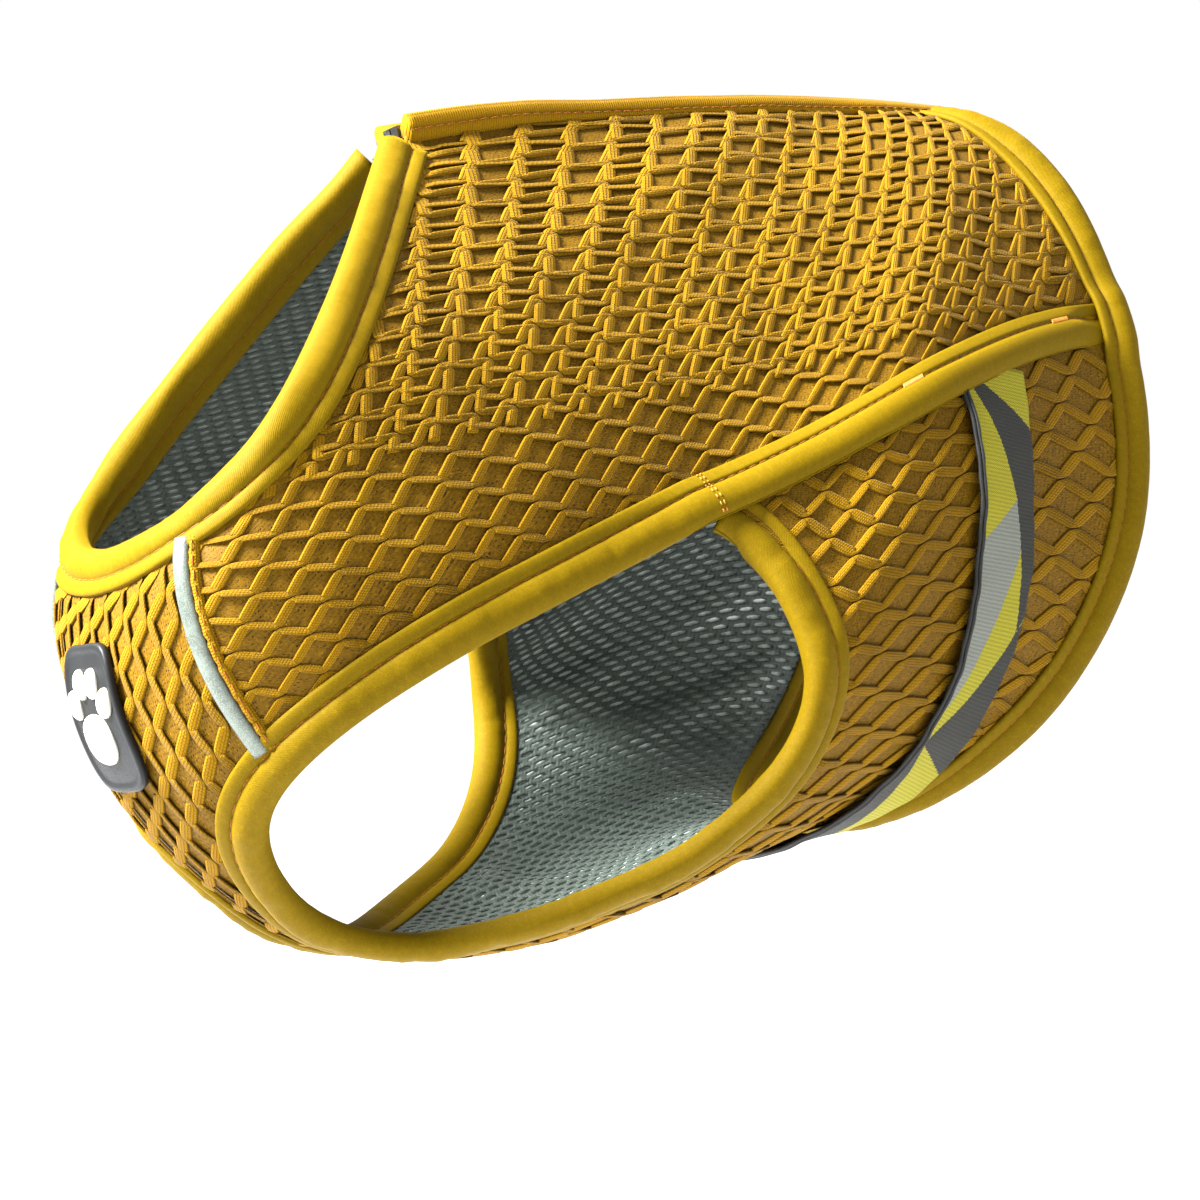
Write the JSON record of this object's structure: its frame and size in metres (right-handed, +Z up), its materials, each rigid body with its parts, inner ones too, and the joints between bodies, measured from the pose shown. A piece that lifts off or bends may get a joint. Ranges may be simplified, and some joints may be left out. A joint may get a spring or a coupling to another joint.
{
  "type": "dog cooling vest",
  "caption": "Sleeveless mesh cooling vest for a dog, in its worn shape, with bound neck, leg and rear openings, an elastic belly strap and a zip along the back.",
  "frame": {"origin": "middle of the dog's torso, in the middle of the garment's height and length", "axes": "+X towards the tail, -Y to the dog's left, +Z up towards the spine"},
  "size_m": [0.3071, 0.1592, 0.2178],
  "materials": {
    "mesh_cloth": "matte honeycomb knit, mustard",
    "core_cloth": "soft absorbent fleece",
    "lining_cloth": "slick grey air mesh",
    "binding_cloth": "brushed stretch binding, mustard",
    "reflective_cloth": "grey reflective piping",
    "strap_web": "woven elastic with a shard pattern",
    "tack_thread": "satin bar tack",
    "black_rubber": "matte moulded",
    "white_rubber": "matte moulded",
    "zip_nylon": "woven zip tape",
    "zip_coil": "nylon zip teeth",
    "zip_metal": "satin black"
  },
  "bodies": {
    "vest": {"back_mesh_left": "mesh_cloth", "back_mesh_right": "mesh_cloth", "chest_mesh": "mesh_cloth", "belly_mesh": "mesh_cloth", "back_absorbent_core_left": "core_cloth", "back_absorbent_core_right": "core_cloth", "chest_absorbent_core": "core_cloth", "belly_absorbent_core": "core_cloth", "back_lining_left": "lining_cloth", "back_lining_right": "lining_cloth", "chest_lining": "lining_cloth", "belly_lining": "lining_cloth", "neck_binding": "binding_cloth", "rear_hem_binding": "binding_cloth", "edge_binding_left": "binding_cloth", "edge_binding_right": "binding_cloth", "reflective_piping_left": "reflective_cloth", "reflective_piping_right": "reflective_cloth", "elastic_belly_strap": "strap_web", "leg_tack_left": "tack_thread", "leg_tack_right": "tack_thread", "strap_tack_left": "tack_thread", "strap_tack_right": "tack_thread", "hem_tack_left": "tack_thread", "hem_tack_right": "tack_thread", "chest_badge": "black_rubber", "badge_emblem": "white_rubber", "zip_tape_left": "zip_nylon", "zip_tape_right": "zip_nylon", "zip_teeth_left": "zip_coil", "zip_teeth_right": "zip_coil", "zip_top_stop_left": "zip_metal", "zip_top_stop_right": "zip_metal", "zip_insertion_pin": "zip_metal", "zip_retaining_box": "zip_metal"},
    "slider": {"zip_slider": "zip_metal"},
    "pull_tab": {"zip_pull_tab": "zip_metal"}
  },
  "joints": [
    {"name": "zip_slide", "type": "hinge", "parent": "vest", "child": "slider", "pos_m": [0.0495, 0, -0.7903], "axis": [0, 1, 0], "range_deg": [0, 10]},
    {"name": "pull_tab_hinge", "type": "hinge", "parent": "slider", "child": "pull_tab", "pos_m": [-0.03288, 0, 0.10587], "axis": [0, -1, 0], "range_deg": [0, 165]}
  ]
}
